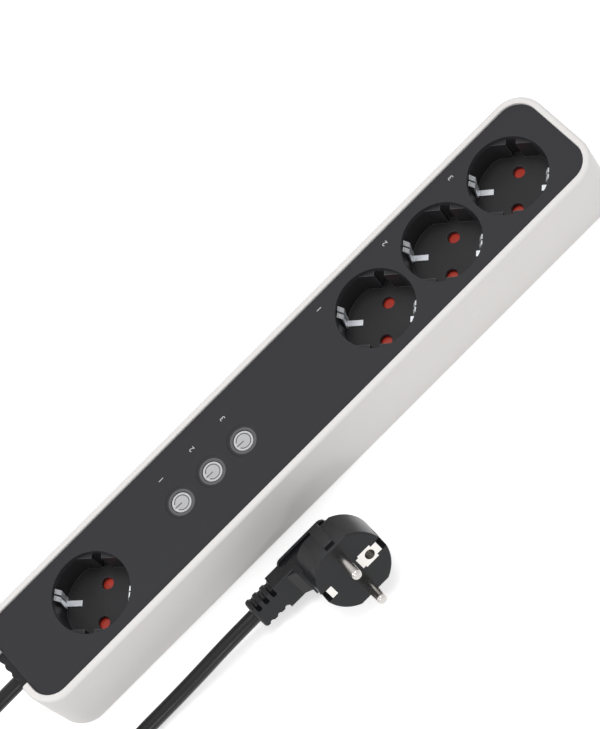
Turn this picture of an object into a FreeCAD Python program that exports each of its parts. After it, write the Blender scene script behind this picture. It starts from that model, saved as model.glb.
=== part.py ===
import FreeCAD, Part
import math
import os

os.makedirs("parts", exist_ok=True)

V = FreeCAD.Vector
AXIS_X = V(1, 0, 0)
AXIS_Y = V(0, 1, 0)
AXIS_Z = V(0, 0, 1)

# Frame: origin under the middle of the strip at its base, X along the strip away from the cord,
# Z up. The side with the printed numbers is +Y.

# Strip
strip_length = 358.0
strip_width = 59.2
strip_height = 41.0
corner_radius = 15.0
rim_width = 3.6
rim_outer_round = 1.8
rim_inner_round = 0.5
wall = 2.6
floor_thickness = 2.2
base_round = 2.4
panel_drop = 1.4
panel_thickness = 2.5
panel_gap = 0.15
ledge_width = 1.5
ledge_height = 2.2

# Sockets
recess_diameter = 39.4
recess_depth = 17.5
recess_edge_round = 0.35
well_wall = 1.5
well_floor = 2.5
key_flat_offset = 17.0
key_groove_width = 5.0
pin_spacing = 19.0
pin_hole_diameter = 5.8
pin_hole_chamfer = 0.4
pin_line_angle = 45.0
socket_pitch = 43.0
end_margin = 34.8
cord_end_margin = 52.6

# Shutters
shutter_gap = 0.25
shutter_thickness = 2.0
shutter_wing_radius = 3.6
shutter_bar_width = 5.0
shutter_hub_radius = 4.2
pivot_radius = 1.5
pivot_fit = 0.05
pivot_length = 2.6

# Earth clips and contacts
clip_thickness = 0.6
clip_finger_width = 2.3
clip_finger_split = 0.9
clip_foot_width = 2.8
clip_foot_end = 11.6
clip_top_below_rim = 1.6
clip_wall_gap = 0.35
clip_bulge = 1.7
strap_width = 5.4
strap_thickness = 0.8
strap_drop = 1.2
contact_length = 7.0
contact_thickness = 0.8
contact_inner_gap = 4.6
contact_bottom = 4.4
contact_height = 9.6
bar_height = 5.0
earth_bar_width = 4.0
earth_bar_thickness = 0.8
earth_bar_y = -14.2
bar_overhang = 10.0

# Buttons
button_pitch = 20.0
button_to_socket = 106.0
cap_diameter = 9.8
cap_edge_round = 0.3
ring_outer_diameter = 13.2
ring_gap = 0.25
ring_fit = 0.05
ring_flange_width = 1.3
ring_flange_thickness = 1.0
dish_diameter = 17.0
dish_depth = 0.7
cap_below_ring = 0.1
cap_hollow_depth = 0.35
cap_hollow_radius = 26.0
cap_flange_width = 1.1
cap_flange_thickness = 1.0
cap_flange_gap = 0.3
cap_stem_radius = 1.8
button_travel = 0.6
plunger_radius = 1.7
plunger_fit = 0.1
switch_side = 6.0
switch_height = 3.6

# Control board
board_start = -98.0
board_end = 33.0
board_width = 46.0
board_thickness = 1.6
board_top = 27.2
post_radius = 3.2
post_inset_x = 10.0
post_inset_y = 3.4
relay_size = (19.0, 15.2, 15.4)
relay_y = 1.5
relay_start = -26.0
relay_pitch = 21.0
transformer_size = (22.0, 18.0, 15.0)
transformer_x = -84.0
transformer_foot = 3.0
capacitor_radius = 4.0
capacitor_length = 11.0
capacitor_start = -62.0
capacitor_pitch = 10.5
radio_size = (18.0, 14.0, 3.0)
radio_x = 18.0
lamp_size = (2.0, 1.6, 0.8)
lamp_offset = 5.4

# Fasteners
screw_radius = 1.45
screw_head_radius = 2.9
screw_head_height = 1.6
screw_socket_radius = 1.0
screw_hole_fit = 0.05
boss_radius = 3.4
boss_foot = 8.0
housing_screws_at = ((-167.0, 19.6), (-98.5, 20.4), (79.7, 20.4), (169.4, 17.6))
recess_for_head = 0.3
screw_reach = 9.0
board_screw_reach = 6.0

# Gland, clamp and leads
gland_width = 21.2
gland_depth = 13.0
gland_groove = 1.6
gland_lobe_pitch = 5.4
gland_lobe_radius = 3.3
gland_bottom = 16.0
gland_top_gap = 0.2
cord_diameter = 7.3
cord_height = 27.0
clamp_x = -161.0
clamp_length = 6.0
clamp_width = 26.0
clamp_thickness = 5.0
clamp_pillar_radius = 3.2
clamp_screw_y = 9.4
clamp_screw_reach = 10.0
lead_diameter = 2.6
lead_touch = 0.02
sheath_end_x = -157.0
lead_start_x = -156.5

# Plug
plug_face = (-33.0, -80.3, 26.5)
plug_tilt = 30.0
plug_radius = 18.6
plug_flat_offset = 16.6
plug_depth = 20.0
plug_cord_side_depth = 24.6
plug_slope_start = -9.0
plug_edge_round = 0.8
guide_rib_width = 5.2
guide_rib_height = 1.2
guide_rib_start = 3.0
guide_rib_end = 22.0
guide_rib_round = 0.4
plug_pin_radius = 2.4
plug_pin_length = 19.0
plug_pin_tip_round = 1.3
plug_pin_root_radius = 2.0
plug_pin_root = 14.0
neck_axis_depth = 30.5
neck_width = 14.6
neck_thickness = 11.7
neck_end = 32.6
neck_slope_end = 24.5
neck_edge_round = 0.7
core_start = -20.0
core_end = 5.0
core_round = 3.0
grip_start = -25.0
grip_end = 6.0
grip_width = 17.6
grip_thickness = 2.5
grip_depth = 34.5
grip_corner_round = 3.5
grip_edge_round = 0.8
boot_end = 47.5
boot_width = 12.2
boot_thickness = 10.6
boot_edge_round = 0.8
boot_tip_round = 1.6
boot_notch_count = 3
boot_notch_pitch = 4.7
boot_first_notch = 34.2
boot_notch_radius = 1.3
boot_slot_start = 3.0
boot_slot_floor = 28.3
earth_hole_offset = 10.0
earth_hole_radius = 2.45
earth_sleeve_wall = 0.6
earth_hole_depth = 16.0
earth_plate_outline = ((3.6, 3.0), (5.2, 3.0), (5.2, 3.9), (12.6, 3.9), (12.6, 2.6), (15.6, 2.6))
contact_sheet = 0.8
side_leaf_offset = 15.6
side_leaf_length = 9.0
side_contact_width = 5.4
side_contact_turn = 3.2
leaf_recess_margin = 0.3

# Cord route, in millimetres: corners of the line that the cord follows outside the strip
cord_out = (
    (-179.0, 0.0, 27.0),
    (-199.0, 0.3, 26.3),
    (-218.5, 2.0, 21.0),
    (-234.0, 5.2, 12.2),
    (-249.5, 9.2, 5.4),
    (-266.8, 14.75, 3.75),
)
cord_tail = (
    (-266.8, -72.75, 11.3),
    (-244.0, -66.0, 9.4),
    (-217.0, -59.6, 5.2),
    (-188.0, -54.4, 3.75),
    (-159.0, -51.8, 3.75),
    (-137.0, -52.3, 4.9),
    (-117.0, -53.4, 8.2),
    (-99.0, -53.9, 11.0),
    (-80.5, -53.89, 11.25),
)
coil_centre = (-281.0, -29.0)
coil_radius = 42.0
coil_columns = 2
coil_layers = 2
coil_spacing = 8.0
coil_slack = 0.4
coil_crown = 6.1
coil_shoulder_drop = 2.0
coil_edge = 2.0
tie_width = 12.0
tie_thickness = 1.4

# Fits and joints that several pieces share
join_overlap = 0.5
cut_past = 1.0
screw_seat_wall = 0.4
screw_head_gap = 0.25
screw_head_sunk = 2.4
screw_slip_fit = 0.15
boss_end_gap = 0.1
boss_notch_gap = 0.8
clip_slot_gap = 0.4
clip_slot_depth = 1.0
gland_fit = 0.1
gland_flange_width = 3.0
gland_face_gap = 0.3
gland_flange_gap = 0.7
clamp_above_cord = 1.0
switch_base = 0.8
plunger_stand = 0.6
plunger_base_gap = 0.3
earth_bar_ends = (14.0, 18.0)
transformer_inset = 3.0
capacitor_y = 4.0
can_inset = 1.0
can_start = 5.0
module_base = 0.8

# Heights and positions that follow
panel_top = strip_height - panel_drop
panel_bottom = panel_top - panel_thickness
panel_length = strip_length - 2 * rim_width
panel_width = strip_width - 2 * rim_width
well_radius = recess_diameter / 2
well_outer = well_radius + well_wall
floor_top = panel_top - recess_depth
floor_under = floor_top - well_floor
shutter_top = floor_under - shutter_gap
shutter_low = shutter_top - shutter_thickness
strap_top = shutter_low - strap_drop
last_socket = strip_length / 2 - end_margin
first_socket = -strip_length / 2 + cord_end_margin
socket_x = [first_socket] + [last_socket - socket_pitch * n for n in (2, 1, 0)]
button_middle = socket_x[1] - button_to_socket
button_x = [button_middle + button_pitch * n for n in (-1, 0, 1)]
dish_floor = panel_top - dish_depth
board_low = board_top - board_thickness
clamp_seat = cord_height + clamp_above_cord
screw_seat = recess_for_head + screw_head_height + screw_head_sunk
pin_offset = pin_spacing / 2 * math.cos(math.radians(pin_line_angle))
live_face = pin_offset + contact_inner_gap / 2 + contact_thickness + lead_touch
coil_low = 0.1
coil_half_width = (coil_columns - 1) * coil_spacing / 2 + cord_diameter / 2 + coil_slack
coil_high = (coil_layers - 1) * coil_spacing + cord_diameter + coil_slack


def box(x0, x1, y0, y1, z0, z1):
    return Part.makeBox(x1 - x0, y1 - y0, z1 - z0, V(x0, y0, z0))


def rod(radius, z0, z1, x=0, y=0):
    return Part.makeCylinder(radius, z1 - z0, V(x, y, z0), AXIS_Z)


def slab(length, width, radius, z0, z1):
    """Upright block with four rounded corners, centred on the Z axis."""
    x = length / 2
    y = width / 2
    block = box(-x, x, -y, y, z0, z1)
    corners = [e for e in block.Edges if abs(e.tangentAt(e.FirstParameter).z) > 0.9]
    return block.makeFillet(radius, corners)


def edges_at(shape, z, tolerance=0.01):
    """Edges that lie wholly at one height."""
    picked = []
    for edge in shape.Edges:
        limits = edge.BoundBox
        if abs(limits.ZMin - z) < tolerance and abs(limits.ZMax - z) < tolerance:
            picked.append(edge)
    return picked


def joined(shapes):
    body = shapes[0]
    for other in shapes[1:]:
        body = body.fuse(other)
    return body.removeSplitter()


def turned(shape, degrees, axis=AXIS_Z):
    copy = shape.copy()
    copy.rotate(V(0, 0, 0), axis, degrees)
    return copy


def moved(shape, x, y, z):
    copy = shape.copy()
    copy.translate(V(x, y, z))
    return copy


def save(name, shape):
    solids = shape.Solids
    result = solids[0] if len(solids) == 1 else Part.makeCompound(solids)
    result.exportStep("parts/" + name + ".step")
    volume = sum(s.Volume for s in solids)
    print(name, len(solids), "solid", round(volume, 1), "mm3", result.isValid())


def housing_screw_spots():
    return [(x, side * y) for x, y in housing_screws_at for side in (1, -1)]


def board_screw_spots():
    y = board_width / 2 - post_inset_y
    xs = (board_start + post_inset_x, board_end - post_inset_x)
    return [(x, side * y) for x in xs for side in (1, -1)]


def housing_shell():
    outer = slab(strip_length, strip_width, corner_radius, 0, strip_height)
    outer = outer.makeFillet(base_round, edges_at(outer, 0))
    outer = outer.makeFillet(rim_outer_round, edges_at(outer, strip_height))
    hollow_length = strip_length - 2 * wall
    hollow_width = strip_width - 2 * wall
    ledge_top = panel_bottom
    ledge_low = ledge_top - ledge_height
    hollow = slab(hollow_length, hollow_width, corner_radius - wall, floor_thickness, ledge_low)
    inset = rim_width + ledge_width
    throat = slab(strip_length - 2 * inset, strip_width - 2 * inset, corner_radius - inset,
                  ledge_low - 1, ledge_top + 1)
    mouth = slab(panel_length, panel_width, corner_radius - rim_width, ledge_top, strip_height + 1)
    shell = outer.cut(hollow).cut(throat).cut(mouth)
    inner_edges = [e for e in edges_at(shell, strip_height) if e.BoundBox.XMax <= panel_length / 2 + 0.01]
    shell = shell.makeFillet(rim_inner_round, inner_edges)
    # The gland slides into a slot in the cable-end wall from above.
    slot_half = gland_width / 2
    slot = box(-strip_length / 2 - 1, -strip_length / 2 + rim_width + ledge_width + 0.5,
               -slot_half, slot_half, gland_bottom, strip_height + 1)
    shell = shell.cut(slot)
    # Board posts and clamp pillars stand on the floor.
    posts = [rod(post_radius, floor_thickness - join_overlap, board_low, x, y)
             for x, y in board_screw_spots()]
    pillars = [rod(clamp_pillar_radius, floor_thickness - join_overlap, clamp_seat, clamp_x, y)
               for y in (clamp_screw_y, -clamp_screw_y)]
    shell = joined([shell] + posts + pillars)
    for x, y in board_screw_spots():
        low = board_low - board_screw_reach - cut_past
        shell = shell.cut(rod(screw_radius + screw_hole_fit, low, board_low + cut_past, x, y))
    for y in (clamp_screw_y, -clamp_screw_y):
        low = clamp_seat - clamp_screw_reach - cut_past
        shell = shell.cut(rod(screw_radius + screw_hole_fit, low, clamp_seat + cut_past, clamp_x, y))
    # Housing screws sit in sunk seats that rise inside the tray.
    seat_top = boss_foot - boss_end_gap
    for x, y in housing_screw_spots():
        shell = shell.fuse(rod(boss_radius + screw_seat_wall, floor_thickness / 2, seat_top, x, y))
    shell = shell.removeSplitter()
    for x, y in housing_screw_spots():
        shell = shell.cut(rod(screw_head_radius + screw_head_gap, -cut_past, screw_seat, x, y))
        shell = shell.cut(rod(screw_radius + screw_slip_fit, screw_seat - cut_past,
                              seat_top + cut_past, x, y))
    return shell


def top_panel():
    panel = slab(panel_length - 2 * panel_gap, panel_width - 2 * panel_gap,
                 corner_radius - rim_width - panel_gap, panel_bottom, panel_top)
    for x in socket_x:
        panel = panel.cut(rod(well_radius, panel_bottom - 1, panel_top + 1, x))
    rims = [e for e in edges_at(panel, panel_top) if isinstance(e.Curve, Part.Circle)
            and abs(e.Curve.Radius - well_radius) < 0.01]
    panel = panel.makeFillet(recess_edge_round, rims)
    for x in button_x:
        dish = Part.makeCone(ring_outer_diameter / 2 + 0.6, dish_diameter / 2 + 0.3,
                             dish_depth + 0.2, V(x, 0, dish_floor), AXIS_Z)
        panel = panel.cut(dish)
        panel = panel.cut(rod(ring_outer_diameter / 2 + ring_fit, panel_bottom - 1, panel_top, x))
    bosses = []
    for x, y in housing_screw_spots():
        bosses.append(rod(boss_radius, boss_foot, panel_bottom + join_overlap, x, y))
    panel = joined([panel] + bosses)
    for x, y in housing_screw_spots():
        panel = panel.cut(rod(screw_radius + screw_hole_fit, boss_foot - cut_past,
                              boss_foot + screw_reach + cut_past, x, y))
    return panel


def socket_well(x):
    """Well with its pin line turned to 45 degrees, built on the X axis and then turned."""
    cup = rod(well_outer, floor_under, panel_bottom)
    cup = cup.cut(rod(well_radius, floor_top, panel_bottom + 1))
    keys = []
    for side in (1, -1):
        segment = rod(well_radius + 0.5, floor_top - 0.5, panel_bottom)
        inner = box(-well_outer, well_outer, -well_outer, well_outer, floor_top - 1, panel_bottom + 1)
        inner.translate(V(side * (key_flat_offset - well_outer), 0, 0))
        segment = segment.cut(inner)
        low, high = sorted((side * (key_flat_offset - 1), side * well_radius))
        groove = box(low, high, -key_groove_width / 2, key_groove_width / 2,
                     floor_top, panel_bottom + 1)
        keys.append(segment.cut(groove))
    cup = joined([cup] + keys)
    for side in (1, -1):
        hole_x = side * pin_spacing / 2
        cup = cup.cut(rod(pin_hole_diameter / 2, floor_under - 1, floor_top + 1, hole_x))
        sink = Part.makeCone(pin_hole_diameter / 2, pin_hole_diameter / 2 + 2 * pin_hole_chamfer,
                             2 * pin_hole_chamfer, V(hole_x, 0, floor_top - pin_hole_chamfer), AXIS_Z)
        cup = cup.cut(sink)
        slot_in = well_radius - clip_wall_gap - clip_thickness - clip_slot_depth
        low, high = sorted((side * slot_in, side * (well_radius - 0.05)))
        half = clip_foot_width / 2 + clip_slot_gap
        cup = cup.cut(box(-half, half, low, high, floor_under - 1, floor_top + 1))
    pivot = rod(pivot_radius, floor_under - pivot_length, floor_under + join_overlap)
    cup = joined([cup, pivot])
    return moved(turned(cup, pin_line_angle), x, 0, 0)


def shutter(x):
    bar = box(-pin_spacing / 2, pin_spacing / 2, -shutter_bar_width / 2, shutter_bar_width / 2,
              shutter_low, shutter_top)
    wings = [rod(shutter_wing_radius, shutter_low, shutter_top, side * pin_spacing / 2)
             for side in (1, -1)]
    hub = rod(shutter_hub_radius, shutter_low, shutter_top)
    body = joined([bar, hub] + wings)
    body = body.cut(rod(pivot_radius + pivot_fit, shutter_low - 1, shutter_top + 1))
    return moved(turned(body, pin_line_angle), x, 0, 0)


def ribbon(points, thickness, width):
    """Bent strip: a line of points in the YZ plane given a thickness, then a width along X."""
    left = []
    right = []
    for n, point in enumerate(points):
        before = points[max(n - 1, 0)]
        after = points[min(n + 1, len(points) - 1)]
        dy = after[0] - before[0]
        dz = after[1] - before[1]
        half = thickness / 2 / math.hypot(dy, dz)
        left.append(V(-width / 2, point[0] - dz * half, point[1] + dy * half))
        right.append(V(-width / 2, point[0] + dz * half, point[1] - dy * half))
    ring = left + right[::-1] + [left[0]]
    return Part.Face(Part.makePolygon(ring)).extrude(V(width, 0, 0))


def earth_clip(x):
    """One sprung strip: a strap under the floor, two legs up the wall, each ending in two fingers."""
    strap_low = strap_top - strap_thickness
    leg_r = well_radius - clip_wall_gap - clip_thickness / 2
    top_z = panel_top - clip_top_below_rim
    foot_z = floor_top + clip_thickness / 2 + 0.1
    parts = [box(-strap_width / 2, strap_width / 2, -leg_r - clip_thickness / 2,
                 leg_r + clip_thickness / 2, strap_low, strap_top)]
    for side in (1, -1):
        y0, y1 = sorted((side * (leg_r + clip_thickness / 2), side * (leg_r - clip_thickness / 2)))
        half = clip_foot_width / 2
        parts.append(box(-half, half, y0, y1, strap_low, floor_top + 1.2))
        foot = sorted((side * clip_foot_end, side * leg_r))
        parts.append(box(-half, half, foot[0], foot[1], foot_z - clip_thickness / 2,
                         foot_z + clip_thickness / 2))
        cross = box(-clip_finger_width - clip_finger_split / 2, clip_finger_width + clip_finger_split / 2,
                    y0, y1, floor_top + 0.7, floor_top + 2.4)
        parts.append(cross)
        path = (
            (side * leg_r, floor_top + 1.5),
            (side * (leg_r - 0.4), floor_top + 5.0),
            (side * (leg_r - clip_bulge), top_z - 4.2),
            (side * (leg_r - clip_bulge - 0.15), top_z - 3.2),
            (side * (leg_r - 0.5), top_z - 0.9),
            (side * (leg_r - 0.15), top_z),
        )
        for hand in (1, -1):
            finger = ribbon(path, clip_thickness, clip_finger_width)
            finger.translate(V(hand * (clip_finger_width + clip_finger_split) / 2, 0, 0))
            parts.append(finger)
    clip = joined(parts)
    return moved(turned(clip, pin_line_angle), x, 0, 0)


def contact_cup(x, y):
    """Two upright leaves that grip a pin, joined by a web beside the pin."""
    gap = contact_inner_gap / 2
    half = contact_length / 2
    z0 = contact_bottom
    z1 = contact_bottom + contact_height
    leaves = []
    for side in (1, -1):
        near, far = sorted((y + side * gap, y + side * (gap + contact_thickness)))
        leaves.append(box(x - half, x + half, near, far, z0, z1))
    web = box(x + half - contact_thickness, x + half, y - gap - 0.1, y + gap + 0.1, z0, z1)
    return joined(leaves + [web])


def contact_pin(n, side):
    """Centre of one pin hole: side 1 is the live hole on +Y, side -1 the neutral one on -Y."""
    return socket_x[n] + side * pin_offset, side * pin_offset


def neutral_bar():
    y_bar = -pin_offset - contact_inner_gap / 2 - contact_thickness
    start = contact_pin(0, -1)[0] - bar_overhang
    end = contact_pin(3, -1)[0] + contact_length / 2
    parts = [box(start, end, y_bar, y_bar + contact_thickness, contact_bottom,
                 contact_bottom + bar_height)]
    for n in range(len(socket_x)):
        x, y = contact_pin(n, -1)
        parts.append(contact_cup(x, y))
    return joined(parts)


def live_contact(n):
    x, y = contact_pin(n, 1)
    y_bar = y + contact_inner_gap / 2
    tab = box(x - contact_length / 2 - bar_overhang, x, y_bar, y_bar + contact_thickness,
              contact_bottom, contact_bottom + bar_height)
    return joined([contact_cup(x, y), tab])


def earth_bar():
    top = strap_top - strap_thickness
    start = socket_x[0] - earth_bar_ends[0]
    end = socket_x[3] + earth_bar_ends[1]
    return box(start, end, earth_bar_y - earth_bar_width / 2, earth_bar_y + earth_bar_width / 2,
               top - earth_bar_thickness, top)


def button_ring(x):
    radius = ring_outer_diameter / 2
    bore = cap_diameter / 2 + ring_gap
    ring = rod(radius, panel_bottom - 0.5, dish_floor, x)
    flange = rod(radius + ring_flange_width, panel_bottom - ring_flange_thickness, panel_bottom, x)
    ring = joined([ring, flange])
    return ring.cut(rod(bore, panel_bottom - 2, panel_top + 1, x))


def button_cap(x):
    top = dish_floor - cap_below_ring
    under_ring = panel_bottom - ring_flange_thickness
    flange_top = under_ring - cap_flange_gap
    flange_low = flange_top - cap_flange_thickness
    disc = rod(cap_diameter / 2, flange_low, top, x)
    disc = disc.makeFillet(cap_edge_round, edges_at(disc, top))
    ball = Part.makeSphere(cap_hollow_radius, V(x, 0, top + cap_hollow_radius - cap_hollow_depth))
    disc = disc.cut(ball)
    flange = rod(cap_diameter / 2 + cap_flange_width, flange_low, flange_top, x)
    stem = rod(cap_stem_radius, plunger_top(), flange_low + 0.5, x)
    return joined([disc, flange, stem])


def plunger_top():
    return board_top + switch_height + button_travel + plunger_stand


def switch_body(x):
    half = switch_side / 2
    body = box(x - half, x + half, -half, half, board_top, board_top + switch_height)
    return body.cut(rod(plunger_radius + plunger_fit, board_top + switch_base,
                        board_top + switch_height + cut_past, x))


def switch_plunger(x):
    low = board_top + switch_base + button_travel + plunger_base_gap
    return rod(plunger_radius, low, plunger_top(), x)


def control_board():
    half = board_width / 2
    board = box(board_start, board_end, -half, half, board_low, board_top)
    # Notches let the panel's screw bosses pass.
    for x, y in housing_screw_spots():
        board = board.cut(rod(boss_radius + boss_notch_gap, board_low - cut_past, board_top + cut_past, x, y))
    for x, y in board_screw_spots():
        board = board.cut(rod(screw_radius + screw_slip_fit, board_low - cut_past,
                              board_top + cut_past, x, y))
    return board


def relay(n):
    length, width, height = relay_size
    x = relay_start + relay_pitch * n
    body = box(x - length / 2, x + length / 2, relay_y - width / 2, relay_y + width / 2,
               board_low - height, board_low)
    corners = [e for e in body.Edges if abs(e.tangentAt(e.FirstParameter).z) > 0.9]
    return body.makeFillet(0.6, corners)


def supply_transformer():
    length, width, height = transformer_size
    x = transformer_x
    core = box(x - length / 2, x + length / 2, -width / 2, width / 2,
               board_low - height, board_low - transformer_foot)
    inset = transformer_inset
    bobbin = box(x - length / 2 + inset, x + length / 2 - inset, -width / 2 + inset, width / 2 - inset,
                 board_low - transformer_foot, board_low)
    return joined([core, bobbin])


def capacitors():
    cans = []
    for n in range(2):
        x = capacitor_start + capacitor_pitch * n
        can = rod(capacitor_radius, board_low - capacitor_length, board_low, x, capacitor_y)
        can = can.makeFillet(0.5, edges_at(can, board_low - capacitor_length))
        cans.append(can)
    return Part.makeCompound(cans)


def radio_module():
    length, width, height = radio_size
    base = box(radio_x - length / 2, radio_x + length / 2, -width / 2, width / 2,
               board_top, board_top + module_base)
    can = box(radio_x - length / 2 + can_start, radio_x + length / 2 - can_inset,
              -width / 2 + can_inset, width / 2 - can_inset, board_top + module_base / 2, board_top + height)
    return joined([base, can])


def indicator_lamps():
    length, width, height = lamp_size
    lamps = []
    for x in button_x:
        centre = x + lamp_offset
        lamps.append(box(centre - length / 2, centre + length / 2, -width / 2, width / 2,
                         board_top, board_top + height))
    return Part.makeCompound(lamps)


def screw(x, y, seat, reach, up):
    """Pan-head screw; the head's underside is at seat, and up is 1 where the shank points up."""
    head = Part.makeCylinder(screw_head_radius, screw_head_height, V(0, 0, 0), V(0, 0, -1))
    rim = [e for e in head.Edges if isinstance(e.Curve, Part.Circle)
           and e.BoundBox.ZMax < -screw_head_height + 0.01]
    head = head.makeFillet(0.5, rim)
    shank = rod(screw_radius, -0.2, reach - 1.2)
    tip = Part.makeCone(screw_radius, 0.5, 1.2, V(0, 0, reach - 1.2), AXIS_Z)
    socket = Part.makeCylinder(screw_socket_radius, 0.9, V(0, 0, -screw_head_height - 0.01), AXIS_Z)
    body = joined([head, shank, tip]).cut(socket)
    if up < 0:
        body.rotate(V(0, 0, 0), AXIS_X, 180)
    return moved(body, x, y, seat)


def housing_screws():
    reach = boss_foot - screw_seat + screw_reach
    return Part.makeCompound([screw(x, y, screw_seat, reach, 1) for x, y in housing_screw_spots()])


def board_screws():
    reach = board_screw_reach + board_thickness
    return Part.makeCompound([screw(x, y, board_top, reach, -1) for x, y in board_screw_spots()])


def gland():
    """Block that fills the slot in the end wall, fluted on its outer face, bored for the cord."""
    half = gland_width / 2
    face_x = -strip_length / 2
    back_x = face_x + gland_depth
    top = panel_bottom - gland_top_gap
    lip_back = face_x + rim_width
    valley = face_x + gland_groove
    inner_half = half - gland_fit
    low = gland_bottom + gland_fit
    face_top = panel_top - gland_face_gap
    flange_half = half + gland_flange_width
    block = box(valley, lip_back - gland_fit, -inner_half, inner_half, low, face_top)
    inner = box(lip_back - 2 * gland_fit, back_x, -inner_half, inner_half, low, top)
    flange = box(lip_back + ledge_width + gland_flange_gap, back_x, -flange_half, flange_half,
                 gland_bottom - gland_flange_width, top - ledge_height - gland_top_gap)
    lobes = []
    for n in (-1.5, -0.5, 0.5, 1.5):
        y = n * gland_lobe_pitch
        lobe = rod(gland_lobe_radius, low, face_top, face_x + gland_lobe_radius, y)
        lobes.append(lobe.common(box(face_x, valley + 1, -inner_half, inner_half, 0, strip_height)))
    body = joined([block, inner, flange] + lobes)
    bore = Part.makeCylinder(cord_diameter / 2, gland_depth + 2, V(face_x - 1, 0, cord_height), AXIS_X)
    return body.cut(bore)


def cord_clamp():
    half = clamp_width / 2
    bar = box(clamp_x - clamp_length / 2, clamp_x + clamp_length / 2, -half, half,
              clamp_seat, clamp_seat + clamp_thickness)
    channel = Part.makeCylinder(cord_diameter / 2, clamp_length + 2,
                                V(clamp_x - clamp_length / 2 - 1, 0, cord_height), AXIS_X)
    bar = bar.cut(channel)
    for y in (clamp_screw_y, -clamp_screw_y):
        bar = bar.cut(rod(screw_radius + screw_slip_fit, clamp_seat - cut_past,
                          clamp_seat + clamp_thickness + cut_past, clamp_x, y))
    return bar


def clamp_screws():
    seat = clamp_seat + clamp_thickness
    reach = clamp_thickness + clamp_screw_reach
    return Part.makeCompound([screw(clamp_x, y, seat, reach, -1)
                              for y in (clamp_screw_y, -clamp_screw_y)])


def route_wire(points):
    """Straight runs joined by tangent arcs, each as large as its two runs allow."""
    corners = [V(*p) for p in points]
    edges = []
    radii = []
    start = corners[0]
    for n in range(1, len(corners) - 1):
        corner = corners[n]
        back = corners[n - 1] - corner
        ahead = corners[n + 1] - corner
        run = min(back.Length, ahead.Length)
        turn = math.pi - back.getAngle(ahead)
        trim = 0.45 * run
        radius = trim / math.tan(turn / 2)
        radii.append(round(radius, 1))
        one = corner + V(back).normalize() * trim
        two = corner + V(ahead).normalize() * trim
        bisector = (V(back).normalize() + V(ahead).normalize()).normalize()
        middle = corner + bisector * (radius / math.cos(turn / 2) - radius)
        if (one - start).Length > 1e-6:
            edges.append(Part.LineSegment(start, one).toShape())
        edges.append(Part.Arc(one, middle, two).toShape())
        start = two
    edges.append(Part.LineSegment(start, corners[-1]).toShape())
    return Part.Wire(edges), radii


def tube(points, diameter, name):
    wire, radii = route_wire(points)
    direction = V(*points[1]) - V(*points[0])
    circle = Part.Circle(V(*points[0]), direction, diameter / 2).toShape()
    pipe = wire.makePipeShell([Part.Wire(circle)], True, False)
    ideal = math.pi * diameter * diameter / 4 * wire.Length
    print(name, "length", round(wire.Length, 1), "radii", radii,
          "volume over section x length", round(pipe.Volume / ideal, 4))
    return pipe, wire.Length


def coil_outline(grow):
    """Half section of the bundle of turns, as radius and height, grown outwards by a margin."""
    inner = coil_radius - coil_half_width - grow
    outer = coil_radius + coil_half_width + grow
    low = max(coil_low - grow, 0.0)
    shoulder = coil_low + coil_high - coil_shoulder_drop
    top = coil_low + coil_high + coil_crown + grow
    half_top = cord_diameter / 2 + grow / 2
    return ((inner, low + coil_edge), (inner + coil_edge, low), (outer - coil_edge, low),
            (outer, low + coil_edge), (outer, shoulder), (coil_radius + half_top, top),
            (coil_radius - half_top, top), (inner, shoulder))


def coil_solid():
    """Outer shape of the turns: two columns in two layers, and one turn in the groove on top."""
    cx, cy = coil_centre
    corners = [V(cx + radius, cy, z) for radius, z in coil_outline(0.0)]
    section = Part.Face(Part.makePolygon(corners + corners[:1]))
    return section.revolve(V(cx, cy, 0), AXIS_Z, 360)


def cord_tie():
    """Band round the turns on the side away from the strip."""
    cx, cy = coil_centre
    corners = [V(cx - radius, cy - tie_width / 2, z) for radius, z in coil_outline(tie_thickness)]
    band = Part.Face(Part.makePolygon(corners + corners[:1])).extrude(V(0, tie_width, 0))
    return band.cut(coil_solid())


def to_plug_place(shape):
    """Lay the plug down: face towards -Y, tipped up, at its place beside the strip."""
    copy = shape.copy()
    copy.rotate(V(0, 0, 0), AXIS_X, -plug_tilt)
    return moved(copy, *plug_face)


def disc(radius, y0, y1, x=0, z=0):
    return Part.makeCylinder(radius, y1 - y0, V(x, y0, z), AXIS_Y)


def prism(points, z0, z1):
    """Upright block over an outline in the XY plane."""
    corners = [V(x, y, z0) for x, y in points]
    return Part.Face(Part.makePolygon(corners + corners[:1])).extrude(V(0, 0, z1 - z0))


def sheet(points, y0, y1):
    """Plate parallel to the plug's face, over an outline in the XZ plane."""
    corners = [V(x, y0, z) for x, z in points]
    return Part.Face(Part.makePolygon(corners + corners[:1])).extrude(V(0, y1 - y0, 0))


def edges_along(shape, direction):
    return [e for e in shape.Edges if abs(e.tangentAt(e.FirstParameter).dot(direction)) > 0.99]


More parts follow.
